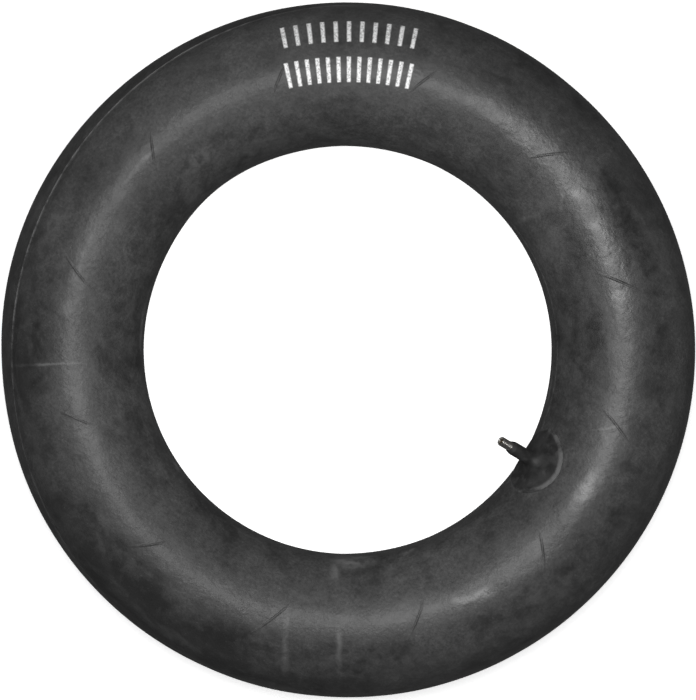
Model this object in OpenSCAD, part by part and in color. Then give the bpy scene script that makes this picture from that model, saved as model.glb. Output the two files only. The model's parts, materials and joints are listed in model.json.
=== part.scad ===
// Inflated inner tube for a car or light trailer tyre on a 13 inch rim, with a rubber-covered
// valve. The ring lies flat: +Z is its axis, the origin is on the ground at its middle, and the
// valve stands in the XZ plane on the +X side. Millimetres.

/* [Ring] */
// Diameter of the hole through the ring, which goes round the rim
hole_d = 330.2; // [280:0.1:420]
// Diameter of the inflated section
section_d = 116.8; // [100:0.1:150]
// Thickness of the butyl wall
wall_t = 1.6; // [1:0.1:3]
// Width of the strip that flattens against the ground
foot_w = 8; // [4:0.5:16]

/* [Valve body] */
// How far the valve stands above the inner edge of the ring, round the section
valve_lean = 32.5; // [0:0.5:55]
// Height of the valve from the skin of the tube to its mouth
valve_h = 38; // [36:0.5:46]
// Diameter of the round base that is cured onto the skin
base_d = 57; // [44:1:60]
// Thickness of the base
base_t = 2.2; // [1.6:0.1:3]
// Diameter of the rubber stem, which goes through an 11.5 mm hole in the rim
stem_d = 11; // [10.6:0.1:11.4]
// Diameter over the outside thread
thread_d = 7.7; // [7.5:0.05:7.9]
// Length of bare thread above the rubber
thread_l = 10.5; // [8:0.5:12]
// Diameter of the hole through the skin and of the lower air passage
passage_d = 2.8; // [2:0.1:3.2]

/* [Valve core] */
// Diameter over the thread of the core's plug
plug_d = 5.16; // [5:0.02:5.2]
// Length of the plug's thread
plug_l = 5.5; // [5:0.1:5.7]
// Diameter of the pin
pin_d = 0.9; // [0.8:0.05:1]
// Diameter of the spring's wire
wire_d = 0.25; // [0.2:0.01:0.3]
// Number of turns in the spring
spring_turns = 6; // [4:1:8]

/* [Hidden] */
$fn = 96;
section_r = section_d / 2;
ring_r = hole_d / 2 + section_r;   // radius of the circle through the middle of the section
foot_drop = section_r - sqrt(pow(section_r, 2) - pow(foot_w / 2, 2));
mid_z = section_r - foot_drop;     // height of the middle of the section
slack = 0.1;                       // overshoot that keeps cutting faces apart

// Base and stem of the rubber cover, as heights above the skin
base_reach = 24;                   // deep enough for the edge to reach round the section
flare_r = 9.5;                     // foot of the stem where it meets the base
flare_top = 9;
cover_top = valve_h - thread_l;
cover_bevel = 3;                   // length of the taper at the top of the rubber
cover_top_r = thread_d / 2 + 0.7;

// Brass insert, as heights above the skin
insert_foot = 1.6;
flange_t = 1.4;
flange_r = 4.7;
shank_r = 3.3;
key_r = 4.2;                       // ribs that key the insert into the rubber
key_w = 1.5;
key_gap = 4;
thread_end_bevel = 0.5;

// Bore of the insert, as depths below the mouth
mouth_bevel = 0.5;
bore_slack = 0.07;                 // room between the plug's thread and the bore
bore_end = 8.6;
chamber_r = 2.25;                  // bore between the thread and the seat
seat_start = 11.4;
seat_end = 13;
well_r = 1.75;                     // bore under the seat, where the cup moves
well_end = 24;
well_cone = 1;

// Plug, as depths below the mouth
plug_top = 1.2;
plug_end = plug_top + plug_l;
bridge_w = 2.4;                    // what the two flats leave of the plug's head
bridge_h = 2.6;
bridge_hole_r = 0.62;
neck_r = 1.3;
neck_bore_r = 0.9;

// Barrel, as depths below the mouth. Its lip is rolled in under the plug and round the plug's
// neck, so that the two can turn but can't come apart.
swivel_gap = 0.08;
barrel_top = plug_end + 0.4;
lip_end = barrel_top + 0.4;
collar_top = lip_end + swivel_gap; // the collar on the end of the plug's neck
collar_end = collar_top + 0.4;
collar_r = 1.6;
socket_end = collar_end + swivel_gap;
barrel_head_r = 2.2;
groove_top = 11;
groove_end = 12.9;
groove_r = 1.45;
land_r = 1.62;
land_end = 13.3;
barrel_r = 1.5;
barrel_end = 16.5;
spring_room_r = 1.2;
spring_room_end = 14.4;
barrel_bore_r = 0.8;

// Gasket in the barrel's groove
gasket_gap = 0.03;

// Pin, cup and cup washer, as depths below the mouth
pin_top = 0.3;
stop_top = socket_end + 0.1;       // the disc on the pin that the spring pushes
stop_end = stop_top + 0.6;
stop_r = 1.1;
cup_top = 16.6;
cup_floor = 17.2;
cup_end = 17.6;
cup_r = 1.45;
cup_bore_r = 1.25;
washer_top = barrel_end + gasket_gap;
rivet_end = 17.9;
rivet_r = 0.75;

// Spring between the pin's stop and the floor of the barrel
spring_r = 0.9;
spring_gap = 0.05;
spring_sides = 6;
spring_steps = 16;                 // rings in one turn

// ---- places ----

// The valve's own axis: z runs out of the skin, with 0 where the axis crosses the skin.
module on_valve() {
    translate([ring_r, 0, mid_z])
        rotate([0, valve_lean - 90, 0])
            translate([0, 0, section_r])
                children();
}

// The mouth of the valve, with z running outwards, so a depth is a negative z.
module at_mouth() {
    on_valve()
        translate([0, 0, valve_h])
            children();
}

// ---- shapes ----

// A round section of the ring that is cut level at its foot.
module flat_footed(r, foot_z) {
    intersection() {
        circle(r = r);
        translate([-r, foot_z])
            square([2 * r, 2 * r]);
    }
}

// The ring as one filled solid, with the skin grown outwards by grow. Only the real skin has a foot.
module ring(grow = 0) {
    translate([0, 0, mid_z])
        rotate_extrude()
            translate([ring_r, 0])
                circle(r = section_r + grow);
}

// A turned piece: profile is [radius, depth below the mouth] for each corner.
module turned(profile) {
    rotate_extrude()
        polygon([for (p = profile) [p[0], -p[1]]]);
}

// One ring of the spring's wire, at t turns from the lower end.
function coil_point(t, foot, rise) =
    let (a = 360 * t)
    [for (k = [0 : spring_sides - 1])
        let (b = 360 * k / spring_sides)
        [(spring_r + wire_d / 2 * cos(b)) * cos(a),
         (spring_r + wire_d / 2 * cos(b)) * sin(a),
         foot + rise * t + wire_d / 2 * sin(b)]];

// A wire wound round z from height foot to height head.
module coil(foot, head) {
    rings = spring_turns * spring_steps;
    rise = (head - foot - wire_d) / spring_turns;
    points = [for (i = [0 : rings])
        each coil_point(i / spring_steps, foot + wire_d / 2, rise)];
    n = spring_sides;
    start_cap = [[for (k = [0 : n - 1]) k]];
    end_cap = [[for (k = [n - 1 : -1 : 0]) rings * n + k]];
    sides = [for (i = [0 : rings - 1], k = [0 : n - 1])
        let (next = (k + 1) % n)
        each [[i * n + k, (i + 1) * n + next, i * n + next],
              [i * n + k, (i + 1) * n + k, (i + 1) * n + next]]];
    polyhedron(points, concat(start_cap, end_cap, sides));
}

// ---- ring ----

module tube_body() {
    color("#262626")
        difference() {
            translate([0, 0, mid_z])
                rotate_extrude()
                    translate([ring_r, 0])
                        difference() {
                            flat_footed(section_r, -mid_z);
                            flat_footed(section_r - wall_t, wall_t - mid_z);
                        }
            on_valve()
                translate([0, 0, -3 * wall_t])
                    cylinder(d = passage_d, h = 6 * wall_t);
        }
}

// ---- valve body ----

// Outside of the brass insert, which the rubber cover is moulded round.
module insert_outside() {
    union() {
        translate([0, 0, insert_foot])
            cylinder(r = flange_r, h = flange_t);
        translate([0, 0, insert_foot])
            cylinder(r = shank_r, h = cover_top - insert_foot);
        for (z = [insert_foot + flange_t + key_gap / 2 : key_gap : cover_top - cover_bevel - key_w])
            translate([0, 0, z])
                cylinder(r = key_r, h = key_w);
        translate([0, 0, cover_top])
            cylinder(d = thread_d, h = thread_l - thread_end_bevel);
        translate([0, 0, valve_h - thread_end_bevel])
            cylinder(r1 = thread_d / 2, r2 = thread_d / 2 - thread_end_bevel, h = thread_end_bevel);
    }
}

// Bore of the insert, from the mouth to the well under the core.
module insert_bore() {
    bore_r = plug_d / 2 + bore_slack;
    translate([0, 0, valve_h])
        turned([[0, -slack], [bore_r + mouth_bevel + slack, -slack], [bore_r, mouth_bevel],
                [bore_r, bore_end], [chamber_r, bore_end + bore_r - chamber_r],
                [chamber_r, seat_start], [well_r, seat_end], [well_r, well_end],
                [passage_d / 2, well_end + well_cone], [0, well_end + well_cone]]);
    cylinder(d = passage_d, h = valve_h - well_end);
}

module valve_stem_insert() {
    color("#b9a05c")
        on_valve()
            difference() {
                insert_outside();
                insert_bore();
            }
}

module valve_rubber_cover() {
    color("#1c1c1c")
        difference() {
            union() {
                intersection() {
                    ring(base_t);
                    on_valve()
                        cylinder(d = base_d, h = 2 * base_reach, center = true);
                }
                on_valve() {
                    cylinder(r1 = flare_r + base_t, r2 = flare_r, h = base_t);
                    translate([0, 0, base_t])
                        cylinder(r1 = flare_r, r2 = stem_d / 2, h = flare_top - base_t);
                    translate([0, 0, flare_top])
                        cylinder(d = stem_d, h = cover_top - cover_bevel - flare_top);
                    translate([0, 0, cover_top - cover_bevel])
                        cylinder(r1 = stem_d / 2, r2 = cover_top_r, h = cover_bevel);
                }
            }
            ring();
            on_valve() {
                insert_outside();
                translate([0, 0, -slack])
                    cylinder(d = passage_d, h = insert_foot + 2 * slack);
            }
        }
}

// ---- valve core ----

module core_plug() {
    color("#c9ae62")
        at_mouth()
            difference() {
                union() {
                    translate([0, 0, -plug_end])
                        cylinder(d = plug_d, h = plug_l);
                    translate([0, 0, -collar_end])
                        cylinder(r = neck_r, h = collar_end - plug_end);
                    translate([0, 0, -collar_end])
                        cylinder(r = collar_r, h = collar_end - collar_top);
                }
                // two flats leave a bridge across the head, for the key
                for (side = [-1, 1])
                    translate([side * (bridge_w / 2 + plug_d / 2), 0, -plug_top - bridge_h / 2])
                        cube([plug_d, 2 * plug_d, bridge_h + slack], center = true);
                translate([0, 0, -plug_top - bridge_h - slack])
                    cylinder(r = bridge_hole_r, h = bridge_h + 2 * slack);
                translate([0, 0, -collar_end - slack])
                    cylinder(r = neck_bore_r, h = collar_end - plug_top - bridge_h + slack);
            }
}

module core_barrel() {
    color("#c2a65a")
        at_mouth()
            difference() {
                turned([[0, barrel_top], [barrel_head_r, barrel_top], [barrel_head_r, groove_top],
                        [groove_r, groove_top], [groove_r, groove_end], [land_r, groove_end],
                        [land_r, land_end], [barrel_r, land_end], [barrel_r, barrel_end],
                        [0, barrel_end]]);
                turned([[0, barrel_top - slack], [neck_r + swivel_gap, barrel_top - slack],
                        [neck_r + swivel_gap, lip_end], [collar_r + swivel_gap, lip_end],
                        [collar_r + swivel_gap, socket_end], [spring_room_r, socket_end],
                        [spring_room_r, spring_room_end], [barrel_bore_r, spring_room_end],
                        [barrel_bore_r, barrel_end + slack], [0, barrel_end + slack]]);
            }
}

module core_gasket() {
    top = groove_top;
    end = groove_end;
    seat_slope = (chamber_r - well_r) / (seat_end - seat_start);
    end_r = chamber_r - seat_slope * (end - seat_start) - gasket_gap;
    color("#8c1f1a")
        at_mouth()
            turned([[groove_r, top], [chamber_r - 2 * gasket_gap, top],
                    [chamber_r - 2 * gasket_gap, seat_start], [end_r, end], [groove_r, end]]);
}

module core_spring() {
    color("#a8a8a8")
        at_mouth()
            coil(-spring_room_end + spring_gap, -stop_end - spring_gap);
}

module core_pin() {
    color("#c9ae62")
        at_mouth()
            union() {
                translate([0, 0, -rivet_end])
                    cylinder(d = pin_d, h = rivet_end - pin_top);
                translate([0, 0, -stop_end])
                    cylinder(r = stop_r, h = stop_end - stop_top);
                translate([0, 0, -rivet_end])
                    cylinder(r = rivet_r, h = rivet_end - cup_end);
            }
}

module core_cup() {
    color("#c2a65a")
        at_mouth()
            difference() {
                translate([0, 0, -cup_end])
                    cylinder(r = cup_r, h = cup_end - cup_top);
                translate([0, 0, -cup_floor])
                    cylinder(r = cup_bore_r, h = cup_floor);
                translate([0, 0, -cup_end - slack])
                    cylinder(d = pin_d, h = cup_end);
            }
}

module core_cup_washer() {
    color("#141414")
        at_mouth()
            difference() {
                translate([0, 0, -cup_floor])
                    cylinder(r = cup_bore_r, h = cup_floor - washer_top);
                translate([0, 0, -cup_floor - slack])
                    cylinder(d = pin_d, h = cup_floor);
            }
}

tube_body();
valve_rubber_cover();
valve_stem_insert();
core_plug();
core_barrel();
core_gasket();
core_spring();
core_pin();
core_cup();
core_cup_washer();
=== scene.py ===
"""The looks of an inflated 13 inch inner tube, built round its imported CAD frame.

Angles on the ring are measured about +Z from +X, where the valve is. Angles round the section
start at the outermost line of the ring and go up over the crest. Lengths are in metres.
"""

import json
import math

import bpy
import numpy as np
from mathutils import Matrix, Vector


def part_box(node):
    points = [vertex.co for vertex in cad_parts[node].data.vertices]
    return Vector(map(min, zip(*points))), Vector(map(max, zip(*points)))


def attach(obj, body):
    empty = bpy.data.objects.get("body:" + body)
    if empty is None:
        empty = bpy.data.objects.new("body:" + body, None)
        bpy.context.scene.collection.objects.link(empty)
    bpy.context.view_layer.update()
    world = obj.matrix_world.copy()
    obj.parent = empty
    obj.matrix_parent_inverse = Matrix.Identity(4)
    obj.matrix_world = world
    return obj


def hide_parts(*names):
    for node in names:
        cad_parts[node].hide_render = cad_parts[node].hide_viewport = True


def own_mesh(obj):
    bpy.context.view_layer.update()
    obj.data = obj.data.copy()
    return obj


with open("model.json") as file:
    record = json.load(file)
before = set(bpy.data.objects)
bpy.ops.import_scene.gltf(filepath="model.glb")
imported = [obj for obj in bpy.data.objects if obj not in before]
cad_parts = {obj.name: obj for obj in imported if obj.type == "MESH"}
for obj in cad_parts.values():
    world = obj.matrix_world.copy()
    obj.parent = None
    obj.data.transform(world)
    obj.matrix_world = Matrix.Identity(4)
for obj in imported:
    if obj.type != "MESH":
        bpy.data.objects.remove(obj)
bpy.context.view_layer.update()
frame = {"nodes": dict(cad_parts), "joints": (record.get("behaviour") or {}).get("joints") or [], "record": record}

MM = 0.001
TURN = 2 * math.pi

# ---- the frame: sizes and places that the CAD model gives ----

MOUNTS = {mount["name"]: mount for mount in frame["record"]["mounts"]}
JOINTS = {joint["name"]: joint for joint in frame["joints"]}

HOLE_R = MOUNTS["rim_seat"]["dims"]["r_mm"] * MM
MID_Z = MOUNTS["rim_seat"]["pos_m"][2]
SECTION_R = (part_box("tube_body")[1].x - HOLE_R) / 2
RING_R = HOLE_R + SECTION_R
STEM_R = MOUNTS["valve_stem"]["dims"]["r_mm"] * MM
THREAD_R = MOUNTS["valve_thread"]["dims"]["r_mm"] * MM

# The valve's own axes: out of the skin, along the ring, and across the section.
OUT = np.array(MOUNTS["valve_stem"]["axis"])
ALONG = np.array([0.0, 1.0, 0.0])
ACROSS = np.cross(ALONG, OUT)
SECTION_MIDDLE = np.array([RING_R, 0.0, MID_Z])
VALVE_FOOT = SECTION_MIDDLE + SECTION_R * OUT
VALVE_MOUTH = np.array(JOINTS["plug_turn"]["pos_m"])
VALVE_H = float(np.dot(VALVE_MOUTH - VALVE_FOOT, OUT))

# ---- what the mould and the loose tube add to the plain ring ----

# The section is rolled, so that the mould's two parting lines wander up and down the ring.
ROLL_MEAN = math.radians(-8)
ROLL_SWING = math.radians(29)
ROLL_PHASE = math.radians(19)

PARTING_HEIGHT = 0.35 * MM
PARTING_HALF_WIDTH = 1.0 * MM
PARTING_SINK = 0.4 * MM          # the skin dips a little on both sides of the outer parting line
PARTING_SINK_REACH = 8 * MM

VENT_RIBS = 12
RIB_HEIGHT = 0.4 * MM
RIB_HALF_WIDTH = 1.3 * MM
RIB_SLANT = math.radians(37)
RIB_HALF_LENGTHS = (0.15, 0.25)  # the shortest and the longest, in radians round the section
CREST_SINK = 0.4 * MM            # room for the ribs under the CAD model's top
CREST_SINK_REACH = 0.6           # in radians round the section
UNEVENNESS = 0.13 * MM
RING_STEPS = 540
SECTION_STEPS = 84

# Where the blown-up skin stands in a little: degrees round the ring, degrees round the section,
# how deep in millimetres, and how far it reaches round the ring and the section in degrees.
STANDS_IN = [
    (160, 180, 2.4, 19, 60),
    (78, 0, 1.2, 24, 50),
    (216, 0, 1.3, 14, 50),
]

# The middle of the print, in degrees round the ring.
PRINT_ANGLE = 120.5

# Marks on the skin are placed by degrees round the ring and millimetres outward from its crest.
# Light lines across it: degrees, where the line starts and ends outward, its width, how far it
# leans along the ring for each millimetre outward, how shaky it is, and its strength.
LIGHT_LINES = [
    # the first three are painted highlight along the splice seams, where their raised joins would catch the light
    (213.5, -14, 66, 3.4, 0.0, 2.0, 0.8),
    (288, -14, 66, 7.0, 0.16, 3.5, 0.5),
    (299, -7, 62, 7.5, 0.02, 3.5, 0.55),
    (64, -64, -8, 10, -0.24, 8.0, 0.45),
]
# Smudges and painted highlights: degrees, outward, length along the ring, width across it, slant
# in degrees, how shaky the edge is, and the strength.
SMUDGES_AND_HIGHLIGHTS = [
    # painted highlight: the light arc where the skin bends round the dish by the valve
    (14, -6, 40, 3.5, 65, 3.0, 0.6),
    # painted highlights: the two bright patches on the crest beside the valve
    (1, -2, 44, 18, 10, 9.0, 0.4),
    (327.5, -2, 44, 10, 12, 12.0, 0.6),
    (297.5, -51, 15, 40, 0, 8.0, 0.7),
    (302.5, -68, 68, 32, 0, 14.0, 1.0),
    (317.5, -69, 24, 13, 0, 7.0, 0.8),
    (245, -76, 20, 14, 0, 6.0, 0.6),
    (203, -77, 92, 12, 0, 5.0, 0.7),
    (20, -80, 70, 9, 0, 4.0, 0.8),
    (66, -14, 30, 7, 40, 14.0, 0.5),
    (75, 10, 12, 5, 20, 5.0, 0.5),
    # painted glint: a bright streak along the crest
    (169, -1, 52, 6, 0, 5.0, 0.7),
    (202.5, 3, 14, 14, 0, 8.0, 0.6),
    (191, 1, 60, 7, 0, 9.0, 0.4),
    (188, 34, 60, 22, 10, 22.0, 0.35),
    (160, -34, 60, 18, -20, 22.0, 0.3),
]
# Where the skin shines more (below 0) or less than elsewhere, in the same way as the smudges: the
# last number is the change of roughness.
SHINE = [
    (56, 2, 310, 90, 0, 0, -0.18),
    (84, 0, 150, 60, 0, 0, -0.07),
    (1, -2, 64, 26, 10, 9, -0.14),
    (327.5, -2, 52, 16, 12, 10, -0.14),
    (12, 0, 150, 54, 0, 0, -0.07),
    (335, -4, 150, 50, 0, 0, -0.05),
    (214, 0, 90, 40, 0, 0, -0.03),
    (148, 6, 340, 90, 0, 0, 0.08),
    (258, 0, 300, 80, 0, 0, 0.05),
]
# Where the bloom is thicker (above 0) or thinner than elsewhere, in the same way: painted light and
# shade, which makes the flanks lighter on the sides that get more light and darker on the others.
PAINTED_LIGHT_AND_SHADE = [
    (146, 44, 380, 110, 0, 30, 0.5),
    (38, 52, 190, 60, 0, 25, 0.4),
    (268, 48, 360, 100, 0, 30, -0.6),
    (214, 48, 150, 90, 0, 25, -0.35),
    (322, -50, 130, 60, 0, 20, 0.4),
    (62, -48, 130, 60, 0, 20, 0.3),
]

# How the skin is held in round the stiff base of the valve.
DISH_DEPTH = 1.0 * MM
DISH_REACH = 46 * MM


def section_roll(ring_angle):
    """How far the section is rolled at an angle on the ring, positive with the inner side up."""
    return ROLL_MEAN + ROLL_SWING * np.cos(ring_angle - ROLL_PHASE)


def dish(distance):
    """How far the skin stands back at a distance from the valve's axis."""
    return -DISH_DEPTH * np.exp(-(distance / DISH_REACH) ** 2)


def hump(x):
    """A smooth hump, 1 at x = 0 and 0 from x = 1 outwards on both sides."""
    return np.where(np.abs(x) < 1, 0.5 + 0.5 * np.cos(np.pi * np.clip(x, -1, 1)), 0.0)


def nearest_turn(angle):
    """The same direction as an angle within half a turn of 0, in radians."""
    return (angle + math.pi) % TURN - math.pi


# ---- meshes ----

def new_object(name, mesh):
    obj = bpy.data.objects.new(name, mesh)
    bpy.context.scene.collection.objects.link(obj)
    return obj


def grid_object(name, points, maps=None):
    """A closed skin over a grid of points that runs round in both directions.

    points is (rows, columns, 3). Each face winds from a row to the next row and on to the next
    column. maps gives each UV map's name, and a function of row and column that gives a corner's
    place in it, with row and column one past the end too.
    """
    rows, columns = points.shape[:2]
    row, column = np.meshgrid(np.arange(rows), np.arange(columns), indexing="ij")
    next_row = (row + 1) % rows
    next_column = (column + 1) % columns
    corners = np.stack([row * columns + column, next_row * columns + column,
                        next_row * columns + next_column, row * columns + next_column], axis=-1)
    mesh = bpy.data.meshes.new(name)
    mesh.from_pydata(points.reshape(-1, 3).tolist(), [], corners.reshape(-1, 4).tolist())
    mesh.shade_smooth()
    corner_row = np.stack([row, row + 1, row + 1, row], axis=-1).reshape(-1)
    corner_column = np.stack([column, column, column + 1, column + 1], axis=-1).reshape(-1)
    for map_name, place in (maps or {}).items():
        places = place(corner_row, corner_column).astype(np.float32)
        mesh.uv_layers.new(name=map_name).data.foreach_set("uv", places.reshape(-1))
    return new_object(name, mesh)


def samples_round(centres, half_width, steps):
    """Angles round a circle: even steps, with 11 close ones across a band at each centre."""
    step = TURN / steps
    even = step * np.arange(steps)
    gap = np.min(np.abs(nearest_turn(even[:, None] - np.array(centres)[None, :])), axis=1)
    band = 1.25
    close = np.add.outer(centres, half_width * np.linspace(-band, band, 11)).reshape(-1)
    return np.sort(np.concatenate([even[gap > band * half_width + step / 3], close]) % TURN)


def ring_waves(ring_angle, section_angle):
    """Slow unevenness of a blown-up skin, between -1 and 1, the same each run."""
    generator = np.random.default_rng(13)
    total = np.zeros_like(ring_angle)
    size = 0.0
    waves = 40
    for _ in range(waves):
        along = generator.integers(2, 26)
        across = generator.integers(0, 6)
        strength = 1 / (4 + along + 2 * across)
        total += strength * np.sin(along * ring_angle + across * section_angle
                                   + generator.uniform(0, TURN))
        size += strength
    return total / size


def make_tube():
    """The ring's skin, with its parting lines and vent ribs, flat where it lies on the ground."""
    rib_places = (np.arange(VENT_RIBS) + 0.5) * TURN / VENT_RIBS
    rib_half_angle = RIB_HALF_WIDTH / (RING_R * math.cos(RIB_SLANT))
    parting_half_angle = PARTING_HALF_WIDTH / SECTION_R
    ring_samples = samples_round(rib_places, rib_half_angle, RING_STEPS)
    section_samples = samples_round([0, math.pi], parting_half_angle, SECTION_STEPS)

    # Lines across the section are sheared, so that they run along the slanted ribs at the crest.
    base_angle = ring_samples[:, None] + 0 * section_samples[None, :]
    section = section_samples[None, :] - section_roll(base_angle)
    shear = SECTION_R * math.tan(RIB_SLANT) / RING_R
    ring_angle = base_angle - shear * np.cos(section)

    # how far each point is lifted off the plain ring
    from_crest = nearest_turn(section - math.pi / 2)
    height = UNEVENNESS * (ring_waves(ring_angle, section) - 1)
    for place in (0, math.pi):
        height += PARTING_HEIGHT * hump(nearest_turn(section_samples - place) / parting_half_angle)
    from_outer_line = nearest_turn(section_samples) * SECTION_R
    height -= PARTING_SINK * np.exp(-(from_outer_line / PARTING_SINK_REACH) ** 2)
    for ring_place, section_place, depth, ring_reach, section_reach in STANDS_IN:
        ring_away = nearest_turn(ring_angle - math.radians(ring_place)) / math.radians(ring_reach)
        section_away = nearest_turn(section - math.radians(section_place))
        height -= (depth * MM * np.exp(-ring_away ** 2)
                   * np.exp(-(section_away / math.radians(section_reach)) ** 2))
    height -= CREST_SINK * np.exp(-(from_crest / CREST_SINK_REACH) ** 2)
    generator = np.random.default_rng(5)
    for place in rib_places:
        half_length = generator.uniform(*RIB_HALF_LENGTHS)
        across_rib = hump(nearest_turn(base_angle - place) / rib_half_angle)
        along_rib = np.sqrt(np.clip(1.6 * (1 - np.abs(from_crest) / half_length), 0, 1))
        height += RIB_HEIGHT * across_rib * along_rib

    def place(lift):
        from_axis = RING_R + (SECTION_R + lift) * np.cos(section)
        return np.stack([from_axis * np.cos(ring_angle), from_axis * np.sin(ring_angle),
                         MID_Z + (SECTION_R + lift) * np.sin(section)], axis=-1)

    offset = place(0) - VALVE_FOOT
    beside = np.linalg.norm(np.cross(offset, OUT), axis=-1)
    on_valve_side = (place(0) - SECTION_MIDDLE) @ OUT > 0
    points = place(height + np.where(on_valve_side, dish(beside), 0))
    points[..., 2] = np.maximum(points[..., 2], 0)

    closed_ring = np.append(ring_samples, ring_samples[0] + TURN)
    closed_section = np.append(section_samples, section_samples[0] + TURN)

    def on_the_ring(row, column):
        base = closed_ring[row]
        turned = closed_section[column] - section_roll(base)
        return np.stack([base - shear * np.cos(turned), turned], axis=-1) / TURN

    def in_the_mould(row, column):
        return np.stack([closed_ring[row], closed_section[column]], axis=-1) / TURN

    return grid_object("tube_skin", points, {"skin": on_the_ring, "mould": in_the_mould})


def skin_under(across, along):
    """The skin's points and outward directions below places beside the valve's axis."""
    out = np.zeros_like(across)
    for _ in range(8):  # each round comes closer to the skin
        point = (VALVE_FOOT + across[..., None] * ACROSS + along[..., None] * ALONG
                 + out[..., None] * OUT)
        from_axis = np.linalg.norm(point[..., :2], axis=-1)
        away = np.stack([point[..., 0] / from_axis * (from_axis - RING_R),
                         point[..., 1] / from_axis * (from_axis - RING_R),
                         point[..., 2] - MID_Z], axis=-1)
        distance = np.linalg.norm(away, axis=-1)
        normal = away / distance[..., None]
        out = out - (distance - SECTION_R) / (normal @ OUT)
    return point, normal


# The valve's inside, in millimetres: radii, and heights above the skin.
PASSAGE_R = 1.4
INSERT_FOOT = 1.6
FLANGE_TOP = 3.0
FLANGE_R = 4.7
SHANK_R = 3.3
KEYS = 5
KEY_WIDTH = 1.5
KEY_PITCH = 4.0
KEYS_START = 5.0
KEY_R = 4.2
THREAD_START = 24.5
COVER_TOP = 27.5
# The spring's two ends, in millimetres below the valve's mouth.
SPRING_LOW = 14.35
SPRING_HIGH = 8.83


def insert_outline():
    """The part of the brass insert that is buried in the rubber, as [radius, height], upwards."""
    outline = [[FLANGE_R, INSERT_FOOT], [FLANGE_R, FLANGE_TOP], [SHANK_R, FLANGE_TOP]]
    for key in range(KEYS):
        low = KEYS_START + key * KEY_PITCH
        high = low + KEY_WIDTH
        outline += [[SHANK_R, low], [KEY_R, low], [KEY_R, high], [SHANK_R, high]]
    return outline


def on_valve(radius, height, angle):
    """Points round the valve's axis; radius, height and angle are arrays of one shape."""
    return (VALVE_FOOT + (radius * np.cos(angle))[..., None] * ACROSS
            + (radius * np.sin(angle))[..., None] * ALONG + height[..., None] * OUT)


def make_valve_rubber():
    """The base that is cured onto the skin, and the stem that rises from it, in one moulding."""
    rim_r = 28.5 * MM
    base_thickness = 2.2 * MM
    under_skin = -0.4 * MM
    # the rounded rim, as [how far in from the rim, height above the skin] in millimetres
    rim = [(0.0, -0.15), (0.08, 0.12), (0.35, 0.34), (0.9, 0.66), (1.6, 1.06), (2.2, 1.38),
           (2.7, 1.58), (3.2, 1.68)]
    fillet_r = 12.5 * MM
    fillet_top = 10.5 * MM
    # the tapered shoulder and the top face, as [radius, height] in millimetres
    shoulder = [(5.49, 24.2), (5.42, 24.6), (5.28, 25.0), (5.05, 25.7), (4.82, 26.4), (4.66, 26.9),
                (4.58, 27.2), (4.44, 27.4), (4.28, COVER_TOP), (3.95, COVER_TOP)]
    straight_top = 23.9 * MM
    gap = 0.03                       # between the rubber and the insert in it, in millimetres
    columns = 160
    angle = TURN * np.arange(columns) / columns
    rows = []

    def on_skin(radius, thickness):
        point, normal = skin_under(radius * np.cos(angle), radius * np.sin(angle))
        return point + (thickness + dish(radius)) * normal

    def level(radius, height):
        return on_valve(np.full(columns, radius), np.full(columns, height), angle)

    # underside, then the rounded rim
    for share in np.linspace(0.06, 1, 14):
        rows.append(on_skin(PASSAGE_R * MM + (rim_r - PASSAGE_R * MM) * share, under_skin))
    for inset, rise in rim:
        rows.append(on_skin(rim_r - inset * MM, rise * MM))
    # the gently crowned top of the base, and the fillet that sweeps up into the stem
    crown_r = rim_r - rim[-1][0] * MM
    crown_rise = rim[-1][1] * MM
    for share in np.linspace(0, 1, 14)[1:]:
        rows.append(on_skin(crown_r + (fillet_r - crown_r) * share,
                            crown_rise + (base_thickness - crown_rise) * share))
    for share in np.linspace(0, 1, 18)[1:]:
        turn = share * math.pi / 2
        radius = fillet_r - (fillet_r - STEM_R) * math.sin(turn)
        rise = (fillet_top - base_thickness) * (1 - math.cos(turn))
        held = on_skin(radius, base_thickness) + rise * OUT
        free = level(radius, base_thickness + rise)
        rows.append(held * (1 - share ** 2) + free * share ** 2)
    # the stem, its shoulder and its top face
    for height in np.linspace(fillet_top, straight_top, 16)[1:]:
        rows.append(level(STEM_R, height))
    for radius, height in shoulder:
        rows.append(level(radius * MM, height * MM))
    # the cavity, which fits the brass insert, and the passage under it
    cavity = [[KEY_R, THREAD_START + 0.5], [KEY_R, THREAD_START], *reversed(insert_outline())]
    for radius, height in cavity:
        rows.append(level((radius + gap) * MM, height * MM))
    for radius, height in [(FLANGE_R, INSERT_FOOT - gap), (PASSAGE_R, INSERT_FOOT - gap),
                           (PASSAGE_R, 0.2)]:
        rows.append(level(radius * MM, height * MM))
    return grid_object("valve_rubber", np.array(rows))


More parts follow.
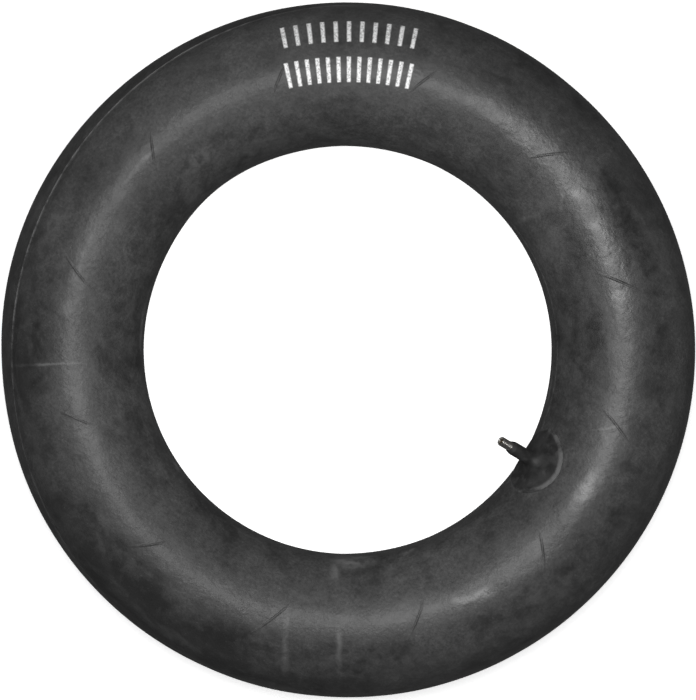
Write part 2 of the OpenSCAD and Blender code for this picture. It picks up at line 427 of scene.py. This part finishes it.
def make_valve_stem():
    """The brass insert, with the helical thread that takes a cap or a pump, and its open bore."""
    pitch = 25.4 / 32
    thread_depth = 0.46
    mouth = VALVE_H / MM
    thread_end = mouth - 0.5
    fade_length = 0.5                # over which the thread runs out at its end
    columns = 96
    angle = TURN * np.arange(columns) / columns
    rows = []

    def level(radius, height):
        rows.append(on_valve(np.full(columns, radius * MM), np.full(columns, height * MM), angle))

    for radius, height in insert_outline():
        level(radius, height)
    level(SHANK_R, THREAD_START)
    for height in np.arange(THREAD_START + 0.1, thread_end, pitch / 8):
        phase = (height / pitch - angle / TURN) % 1
        ridge = np.clip(1.35 - 2.97 * np.abs(phase - 0.5), 0, 1)
        fade = min(1, (thread_end - height) / fade_length)
        radius = THREAD_R / MM - thread_depth * (1 - ridge * fade)
        rows.append(on_valve(radius * MM, np.full(columns, height * MM), angle))
    # over the mouth's rounded edge, and down the stepped bore
    bore_r, chamber_r, well_r = 2.65, 2.25, 1.75
    for radius, height in [(3.42, thread_end), (3.36, mouth - 0.12), (3.28, mouth), (3.16, mouth),
                           (bore_r, mouth - 0.5), (bore_r, mouth - 8.6), (chamber_r, mouth - 9.0),
                           (chamber_r, mouth - 11.4), (well_r, mouth - 13), (well_r, mouth - 24),
                           (PASSAGE_R, mouth - 25), (PASSAGE_R, INSERT_FOOT)]:
        level(radius, height)
    return grid_object("valve_thread_and_insert", np.array(rows))


def make_core_spring():
    """The core's spring, in round wire with its end turns closed up."""
    turns, wire_r, coil_r = 7.5, 0.125, 0.9
    rings, sides = 240, 10
    share = np.linspace(0, 1, rings)
    # the pitch eases out of and into the closed turns at the ends
    eased = share - 0.63 * np.sin(TURN * share) / TURN
    depth = SPRING_LOW - wire_r - (SPRING_LOW - SPRING_HIGH - 2 * wire_r) * eased
    around = TURN * turns * share
    middle = on_valve(np.full(rings, coil_r * MM), VALVE_H - depth * MM, around)
    outward = np.cos(around)[:, None] * ACROSS + np.sin(around)[:, None] * ALONG
    side_angles = (TURN * np.arange(sides) / sides)[None, :, None]
    points = middle[:, None] + wire_r * MM * (np.cos(side_angles) * outward[:, None]
                                              + np.sin(side_angles) * OUT)
    faces = []
    for ring in range(rings - 1):
        for side in range(sides):
            after = (side + 1) % sides
            faces.append((ring * sides + side, (ring + 1) * sides + side,
                          (ring + 1) * sides + after, ring * sides + after))
    faces.append(tuple(range(sides)))
    faces.append(tuple(reversed(range((rings - 1) * sides, rings * sides))))
    mesh = bpy.data.meshes.new("spring_wire")
    mesh.from_pydata(points.reshape(-1, 3).tolist(), [], faces)
    mesh.shade_smooth()
    return new_object("spring_wire", mesh)


# ---- materials ----

class Shader:
    """A material with one Principled shader, and short ways to add the nodes that feed it."""

    def __init__(self, name, **constants):
        self.material = bpy.data.materials.new(name)
        self.material.use_nodes = True
        self.tree = self.material.node_tree
        self.surface = self.tree.nodes["Principled BSDF"]
        self.place = self.tree.nodes.new("ShaderNodeTexCoord").outputs["Object"]
        for socket, value in constants.items():
            self.surface.inputs[socket.replace("_", " ")].default_value = value

    def node(self, kind, *values, **settings):
        made = self.tree.nodes.new(kind)
        for setting, value in settings.items():
            setattr(made, setting, value)
        for socket, value in enumerate(values):
            self.feed(made.inputs[socket], value)
        return made

    def feed(self, socket, value):
        if isinstance(value, bpy.types.NodeSocket):
            self.tree.links.new(value, socket)
        elif value is not None:
            socket.default_value = value

    def math(self, operation, *values):
        return self.node("ShaderNodeMath", *values, operation=operation).outputs[0]

    def vector(self, operation, *values):
        return self.node("ShaderNodeVectorMath", *values, operation=operation).outputs[0]

    def times(self, first, second):
        return self.math("MULTIPLY", first, second)

    def plus(self, first, second):
        return self.math("ADD", first, second)

    def most(self, values):
        """The greatest of several values."""
        total = values[0]
        for value in values[1:]:
            total = self.math("MAXIMUM", total, value)
        return total

    def noise(self, scale, detail=3.0, roughness=0.5, distortion=0.0, place=None):
        """Cloudy noise, mostly between 0.3 and 0.7, with scale waves in a unit of the place."""
        made = self.node("ShaderNodeTexNoise")
        self.feed(made.inputs["Vector"], place or self.place)
        for socket, value in [("Scale", scale), ("Detail", detail), ("Roughness", roughness),
                              ("Distortion", distortion)]:
            made.inputs[socket].default_value = value
        return made.outputs["Fac"]

    def between(self, value, low, high, to_low=0.0, to_high=1.0):
        """value, spread smoothly so that low becomes to_low and high becomes to_high."""
        return self.node("ShaderNodeMapRange", value, low, high, to_low, to_high,
                         interpolation_type="SMOOTHSTEP").outputs[0]

    def mix(self, share, first, second):
        """A grey or colour between first and second."""
        made = self.node("ShaderNodeMix", data_type="RGBA")
        self.feed(made.inputs["Factor"], share)
        for socket, value in [("A", first), ("B", second)]:
            ends = [s for s in made.inputs if s.name == socket and s.type == "RGBA"]
            if isinstance(value, (int, float)):
                value = (value, value, value, 1)
            self.feed(ends[0], value)
        return [s for s in made.outputs if s.type == "RGBA"][0]

    def colour_of(self, grey):
        return self.node("ShaderNodeCombineColor", grey, grey, grey).outputs[0]

    def colour(self, value):
        self.feed(self.surface.inputs["Base Color"], value)

    def roughness(self, value):
        self.feed(self.surface.inputs["Roughness"], value)

    def bump(self, *layers):
        """Layers of [height from 0 to 1, depth in metres], from the coarsest to the finest."""
        normal = None
        for height, depth in layers:
            made = self.node("ShaderNodeBump")
            made.inputs["Strength"].default_value = 1.0
            made.inputs["Distance"].default_value = depth
            self.feed(made.inputs["Height"], height)
            if normal is not None:
                self.feed(made.inputs["Normal"], normal)
            normal = made.outputs["Normal"]
        self.feed(self.surface.inputs["Normal"], normal)
        self.feed(self.surface.inputs["Coat Normal"], normal)


class Skin:
    """Places on the ring's skin for a shader, in millimetres from its crest."""

    def __init__(self, shader):
        self.shader = shader
        self.ring_share, section_share = self.read_map("skin")
        self.outward = shader.times(shader.math("SUBTRACT", 0.25, section_share),
                                    TURN * SECTION_R / MM)
        across_mould = self.read_map("mould")[1]
        self.from_parting = shader.times(shader.math("PINGPONG", across_mould, 0.25),
                                         TURN * SECTION_R / MM)
        # a shaky vector, between about -0.5 and 0.5, for marks that aren't clean
        wobble = shader.node("ShaderNodeTexNoise", shader.place)
        wobble.inputs["Scale"].default_value = 90
        wobble.inputs["Detail"].default_value = 4
        self.shake = shader.vector("SUBTRACT", wobble.outputs["Color"], (0.5, 0.5, 0.5))

    def read_map(self, name):
        place = self.shader.node("ShaderNodeUVMap", uv_map=name).outputs[0]
        return self.shader.node("ShaderNodeSeparateXYZ", place).outputs[:2]

    def along(self, degrees):
        """How far a place is along the ring from an angle on the ring, in millimetres."""
        away = self.shader.math("SUBTRACT", self.ring_share, degrees / 360)
        return self.shader.times(self.shader.math("WRAP", away, 0.5, -0.5), TURN * RING_R / MM)

    def shaken(self, degrees, shake):
        """How far a place is along the ring from an angle, and outward, with a shaky edge."""
        place = self.shader.node("ShaderNodeCombineXYZ", self.along(degrees), self.outward)
        return self.shader.vector("MULTIPLY_ADD", self.shake, (shake,) * 3, place.outputs[0])

    def oval(self, degrees, outward, length, width, slant, shake, strength):
        """A soft oval, at its strength in the middle, 0 at its edge, and turned by slant."""
        oval = self.shader.node("ShaderNodeMapping", self.shaken(degrees, shake), (0, outward, 0),
                                (0, 0, math.radians(slant)), (length / 2, width / 2, 1000),
                                vector_type="TEXTURE").outputs[0]
        distance = self.shader.node("ShaderNodeVectorMath", oval, operation="LENGTH").outputs[1]
        return self.shader.between(distance, 0.15, 1.0, strength, 0.0)

    def line(self, degrees, start, end, width, lean, shake, strength):
        """A soft line across the section, which starts clearly and fades towards its end."""
        shader = self.shader
        fade_in, fade_out = 12, 60
        place = shader.node("ShaderNodeSeparateXYZ", self.shaken(degrees, shake))
        along, outward = place.outputs[:2]
        away = shader.math("MULTIPLY_ADD", outward, -lean, along)
        in_width = shader.between(shader.math("ABSOLUTE", away), 0.0, width / 2, strength, 0.0)
        in_length = shader.times(shader.between(outward, start, start + fade_in),
                                 shader.between(outward, end - fade_out, end, 1.0, 0.0))
        return shader.times(in_width, in_length)


def printed_marks(shader, skin):
    """Two plain rows of upright white bars near the crest, slightly worn."""
    rows = [  # low and high edge outward from the crest, half length, pitch, width, whiteness
        (-9.5, 11.0, 53.0, 8.1, 3.0, 1.0),
        (24.0, 44.5, 48.0, 9.2, 2.8, 0.9),
    ]
    edge = 0.6                       # half the width of the blur at an edge
    along = skin.along(PRINT_ANGLE)
    away = shader.math("ABSOLUTE", along)

    def up_to(value, limit):
        return shader.between(value, limit - edge, limit + edge, 1.0, 0.0)

    bars = []
    for low, high, half_length, pitch, width, whiteness in rows:
        in_height = shader.times(shader.between(skin.outward, low - edge, low + edge),
                                 up_to(skin.outward, high))
        in_length = up_to(away, half_length)
        bar = up_to(shader.math("PINGPONG", along, pitch / 2), width / 2)
        bars.append(shader.times(shader.times(in_height, in_length), shader.times(bar, whiteness)))
    worn = shader.between(shader.noise(520, 4, 0.7), 0.34, 0.55, 0.35, 1.0)
    return shader.times(shader.most(bars), worn)


def butyl_material():
    """Cured butyl rubber with a dusty bloom, smudges, fine specks, scuffs and white print, with painted highlights
    and painted light and shade on some sides.
    """
    shader = Shader("butyl_bloomed", Specular_IOR_Level=0.5, Coat_Weight=0.16, Coat_Roughness=0.31)
    skin = Skin(shader)

    # noise from the coarsest to the finest
    clouds = shader.noise(9, 3, 0.5, 0.2)
    patches = shader.noise(34, 6, 0.66, 0.4)
    mottle = shader.noise(110, 5, 0.65, 0.3)
    crags = shader.noise(240, 4, 0.65)
    fine = shader.noise(430, 4, 0.7)
    dust = shader.noise(700, 4, 0.7)
    grain = shader.noise(950, 3, 0.6)
    # wisps are drawn out along the ring, so their noise is in millimetres on the skin
    drawn_out = shader.node("ShaderNodeCombineXYZ", shader.times(skin.along(180), 0.45),
                            skin.outward).outputs[0]
    wisps = shader.noise(0.045, 5, 0.55, 0.5, drawn_out)

    # how dusty the rubber is, with 0 where it is bare, plus the painted light and shade on some sides
    bloom_and_painted_light = shader.plus(shader.times(shader.between(clouds, 0.36, 0.64), 0.25),
                        shader.times(shader.between(patches, 0.34, 0.66), 0.45))
    bloom_and_painted_light = shader.plus(bloom_and_painted_light, shader.times(shader.between(mottle, 0.32, 0.68), 0.3))
    for place in PAINTED_LIGHT_AND_SHADE:
        bloom_and_painted_light = shader.plus(bloom_and_painted_light, skin.oval(*place))
    bloom_and_painted_light = shader.math("MAXIMUM", shader.math("MINIMUM", bloom_and_painted_light, 1.3), 0.0)
    bloom_and_painted_light = shader.times(bloom_and_painted_light, shader.between(fine, 0.3, 0.7, 0.6, 1.4))
    wisp = shader.times(shader.between(wisps, 0.5, 0.72),
                        shader.between(mottle, 0.3, 0.62, 0.4, 1.0))
    speck = shader.times(shader.between(dust, 0.6, 0.72), shader.between(mottle, 0.42, 0.62))

    # marks on it, smudges and painted highlights, broken up by the mottle
    light_lines = shader.most([skin.line(*line) for line in LIGHT_LINES])
    smudges_and_highlights = shader.most([skin.oval(*spot) for spot in SMUDGES_AND_HIGHLIGHTS])
    marks_and_painted_highlights = shader.times(shader.most([light_lines, smudges_and_highlights]),
                         shader.between(mottle, 0.36, 0.62, 0.3, 1.0))
    # the parting lines are rubbed pale and carry a painted highlight along their ridges, most of all on
    # one part of the outer one
    rubbed_and_highlit_part = skin.oval(176, 60, 420, 90, 0, 0, 1.0)
    rubbed_and_painted_highlight = shader.times(shader.between(skin.from_parting, 0.4, 3.4, 1.0, 0.0),
                          shader.between(rubbed_and_highlit_part, 0.0, 0.6, 0.15, 1.0))
    rubbed_and_painted_highlight = shader.times(rubbed_and_painted_highlight, shader.between(mottle, 0.38, 0.6, 0.15, 1.0))

    base = shader.colour_of(shader.plus(shader.times(bloom_and_painted_light, 0.039), 0.012))
    base = shader.mix(shader.times(wisp, 0.5), base, 0.065)
    base = shader.mix(shader.times(speck, 0.5), base, 0.13)
    base = shader.mix(marks_and_painted_highlights, base, 0.12)
    base = shader.mix(rubbed_and_painted_highlight, base, 0.12)
    ink = printed_marks(shader, skin)
    shader.colour(shader.mix(ink, base, 0.8))

    rough = shader.between(patches, 0.3, 0.7, 0.53, 0.69)
    rough = shader.plus(rough, shader.between(mottle, 0.3, 0.7, -0.05, 0.05))
    rough = shader.plus(rough, shader.times(wisp, 0.04))
    for place in SHINE:
        rough = shader.plus(rough, skin.oval(*place))
    shader.roughness(shader.math("MAXIMUM", rough, shader.times(ink, 0.65)))
    craggy = shader.times(crags, shader.between(patches, 0.44, 0.62, 0.2, 1.0))
    shader.bump((shader.noise(14, 2, 0.5), 2.6 * MM), (shader.noise(60, 4, 0.6), 0.8 * MM),
                (craggy, 0.15 * MM), (grain, 0.03 * MM), (ink, 0.05 * MM))
    return shader.material


def moulded_rubber_material():
    """The valve's harder, plainer rubber, with a painted highlight on the edge of its base."""
    shader = Shader("valve_rubber_matt", Specular_IOR_Level=0.45)
    cloud = shader.noise(90, 4, 0.6, 0.3)
    wipe = shader.between(shader.noise(160, 5, 0.65, 0.6), 0.52, 0.7)
    base = shader.mix(shader.between(cloud, 0.35, 0.65), 0.012, 0.026)
    base = shader.mix(shader.times(wipe, 0.4), base, 0.055)
    # a painted highlight on the bevelled edge of the base, broken up by the cloud
    from_foot = shader.vector("SUBTRACT", shader.place, tuple(VALVE_FOOT))
    sideways = shader.vector("CROSS_PRODUCT", from_foot, tuple(OUT))
    from_axis = shader.node("ShaderNodeVectorMath", sideways, operation="LENGTH").outputs[1]
    painted_bevel_highlight = shader.times(shader.between(from_axis, 24.8 * MM, 27.2 * MM),
                         shader.between(cloud, 0.36, 0.62, 0.15, 0.9))
    shader.colour(shader.mix(painted_bevel_highlight, base, 0.085))
    shader.roughness(shader.between(cloud, 0.3, 0.7, 0.54, 0.68))
    shader.bump((shader.noise(240, 3), 0.06 * MM), (shader.noise(1500, 3), 0.015 * MM))
    return shader.material


def metal_material(name, bright, dull, scratch_scale, roughness):
    """Plated or plain brass and steel, with tarnish and fine wear."""
    shader = Shader(name, Metallic=1.0)
    tarnish = shader.between(shader.noise(700, 4, 0.6, 0.6), 0.35, 0.68)
    shader.colour(shader.mix(tarnish, (*bright, 1), (*dull, 1)))
    wear = shader.noise(scratch_scale, 4, 0.6)
    shader.roughness(shader.between(wear, 0.3, 0.7, roughness, roughness + 0.16))
    shader.bump((wear, 0.006 * MM))
    return shader.material


def seal_material():
    shader = Shader("seal_rubber_matt", Specular_IOR_Level=0.4)
    cloud = shader.noise(1200, 3)
    shader.colour(shader.mix(cloud, (0.02, 0.017, 0.017, 1), (0.045, 0.04, 0.04, 1)))
    shader.roughness(shader.between(cloud, 0.3, 0.7, 0.55, 0.7))
    shader.bump((shader.noise(4000, 2), 0.01 * MM))
    return shader.material


def floor_material():
    shader = Shader("pale_floor", Specular_IOR_Level=0.2, Emission_Color=(1, 1, 1, 1),
                    Emission_Strength=0.6)
    cloud = shader.noise(3, 3)
    shader.colour(shader.mix(cloud, 0.9, 0.93))
    shader.roughness(shader.between(cloud, 0, 1, 0.7, 0.8))
    return shader.material


def paint(obj, material):
    obj.data.materials.clear()
    obj.data.materials.append(material)


# ---- the object ----

def build_object():
    butyl = butyl_material()
    valve_rubber = moulded_rubber_material()
    plated = metal_material("dull_nickel_plate", (0.46, 0.45, 0.43), (0.25, 0.24, 0.23), 2400, 0.3)
    brass = metal_material("core_brass", (0.45, 0.40, 0.31), (0.24, 0.21, 0.16), 3000, 0.33)
    steel = metal_material("spring_steel", (0.62, 0.62, 0.62), (0.4, 0.4, 0.41), 3000, 0.25)
    seal = seal_material()

    made = [  # piece, body, CAD node that it stands for, material slot, material
        (make_tube(), "tube", "tube_body", "butyl", butyl),
        (make_valve_rubber(), "tube", "valve_rubber_cover", "valve_rubber", valve_rubber),
        (make_valve_stem(), "tube", "valve_stem_insert", "plated_brass", plated),
        (make_core_spring(), "core", "core_spring", "spring_steel", steel),
    ]
    for piece, body, node, slot, material in made:
        paint(piece, material)
        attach(piece, body)
        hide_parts(node)

    spring = made[-1][0]
    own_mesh(spring)

    for node in ("core_plug", "core_barrel", "core_pin", "core_cup"):
        paint(frame["nodes"][node], brass)
    for node in ("core_gasket", "core_cup_washer"):
        paint(frame["nodes"][node], seal)


# ---- floor, lights and camera ----

PICTURE_TURN = math.radians(30.75)  # this puts the valve at the picture's lower right
CAMERA_HEIGHT = 4.0                 # above the section's middle
FRAME_WIDTH = 0.5642                # what the picture takes in at that middle's height


def picture_point(right, up, height):
    """A place given by how far it is to the right and up in the picture."""
    c, s = math.cos(PICTURE_TURN), math.sin(PICTURE_TURN)
    return Vector((right * c - up * s, right * s + up * c, height))


def make_camera():
    data = bpy.data.cameras.new("camera")
    camera = new_object("camera", data)
    data.sensor_width = 36
    data.sensor_fit = "HORIZONTAL"
    data.lens = data.sensor_width * CAMERA_HEIGHT / FRAME_WIDTH
    data.clip_end = 100
    camera.location = picture_point(0.0003, -0.0001, MID_Z + CAMERA_HEIGHT)
    camera.rotation_euler = (0, 0, PICTURE_TURN)
    bpy.context.scene.camera = camera


def make_floor():
    half = 30
    mesh = bpy.data.meshes.new("floor")
    mesh.from_pydata([(-half, -half, 0), (half, -half, 0), (half, half, 0), (-half, half, 0)], [],
                     [(0, 1, 2, 3)])
    floor = new_object("floor", mesh)
    paint(floor, floor_material())
    # the object is lit by the lamps and the room alone, as if the floor under it were far away
    floor.visible_diffuse = False
    floor.visible_glossy = False


def make_light(name, place, aim, size, power, shines=True):
    data = bpy.data.lights.new(name, "AREA")
    data.shape = "DISK"
    data.size = size
    data.energy = power
    light = new_object(name, data)
    light.location = place
    light.rotation_euler = (Vector(aim) - Vector(place)).to_track_quat("-Z", "Y").to_euler()
    light.visible_camera = False
    light.visible_glossy = shines


def make_room():
    """Dim walls, with a pale band at the height of the horizon that lights the object's sides."""
    world = bpy.data.worlds.new("room")
    world.use_nodes = True
    tree = world.node_tree
    direction = tree.nodes.new("ShaderNodeTexCoord").outputs["Generated"]
    height = tree.nodes.new("ShaderNodeSeparateXYZ")
    tree.links.new(direction, height.inputs[0])
    brightness = tree.nodes.new("ShaderNodeFloatCurve")
    curve = brightness.mapping.curves[0]
    brightness.mapping.clip_min_x = -1
    for point, (up, level) in zip(curve.points, [(-1, 0.18), (1, 0.11)]):
        point.location = (up, level)
    for up, level in [(-0.15, 0.18), (-0.02, 0.65), (0.07, 0.65), (0.25, 0.11)]:
        curve.points.new(up, level)
    brightness.mapping.update()
    tree.links.new(height.outputs["Z"], brightness.inputs["Value"])
    background = tree.nodes["Background"]
    background.inputs["Color"].default_value = (1, 1, 1, 1)
    tree.links.new(brightness.outputs[0], background.inputs["Strength"])
    bpy.context.scene.world = world


def make_lights():
    middle = (0, 0, MID_Z)
    make_light("overhead_softbox", picture_point(-0.08, 0.57, 7.0), middle, 2.6, 300)
    make_light("fill_over_the_hole", picture_point(0, 0, 0.6), middle, 0.4, 1.9, shines=False)
    make_room()
    bpy.context.scene.view_settings.view_transform = "Standard"


build_object()
make_camera()
make_floor()
make_lights()
